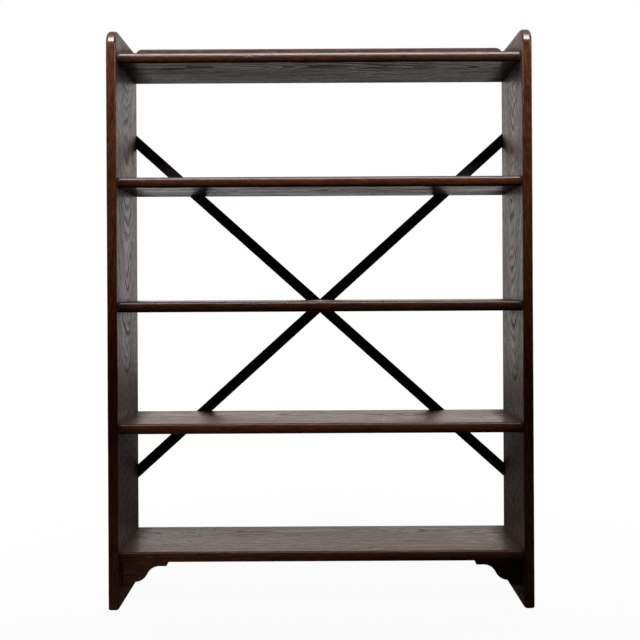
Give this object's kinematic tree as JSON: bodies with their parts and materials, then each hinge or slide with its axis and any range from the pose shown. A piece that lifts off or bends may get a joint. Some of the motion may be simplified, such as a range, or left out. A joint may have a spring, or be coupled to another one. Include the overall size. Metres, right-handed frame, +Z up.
{
  "type": "open bookcase",
  "caption": "Low dark oak bookcase, open front and back: plank sides, fixed round-edged shelves, a back gallery, ogee foot brackets and crossed flat iron straps behind",
  "frame": {"origin": "on the floor, under the middle of the overall width and of the overall depth", "axes": "+Z up, +X to the right seen from the front, and the front faces -Y"},
  "size_m": [0.9, 0.2414, 1.234],
  "materials": {
    "side_oak": "dark-stained oak, grain upright, waxed to a satin sheen",
    "shelf_oak": "dark-stained oak, grain lengthwise, waxed to a satin sheen, worn along the nose",
    "gallery_oak": "dark-stained oak, grain lengthwise, waxed",
    "bracket_oak": "dark-stained oak, grain lengthwise, dull",
    "block_oak": "bare sawn oak, darkened with age",
    "pellet_oak": "turned oak, stained with the side and flush with it",
    "strap_iron": "flat iron bar, black japanned, worn at the edges",
    "strap_screw_iron": "blacked iron, slotted round head",
    "wood_screw_steel": "plain steel, dulled"
  },
  "bodies": {
    "root": {"left_side": "side_oak", "right_side": "side_oak", "back_gallery": "gallery_oak", "left_foot_bracket": "bracket_oak", "right_foot_bracket": "bracket_oak", "left_glue_block": "block_oak", "right_glue_block": "block_oak", "rising_brace": "strap_iron", "falling_brace": "strap_iron", "left_screw_pellets": "pellet_oak", "right_screw_pellets": "pellet_oak", "gallery_screws": "wood_screw_steel", "brace_end_screws": "strap_screw_iron", "brace_shelf_screws": "strap_screw_iron", "brace_centre_screw": "strap_screw_iron", "bottom_shelf": "shelf_oak", "bottom_shelf_screws": "wood_screw_steel", "fourth_shelf": "shelf_oak", "fourth_shelf_screws": "wood_screw_steel", "third_shelf": "shelf_oak", "third_shelf_screws": "wood_screw_steel", "second_shelf": "shelf_oak", "second_shelf_screws": "wood_screw_steel", "top_shelf": "shelf_oak", "top_shelf_screws": "wood_screw_steel"}
  },
  "joints": []
}
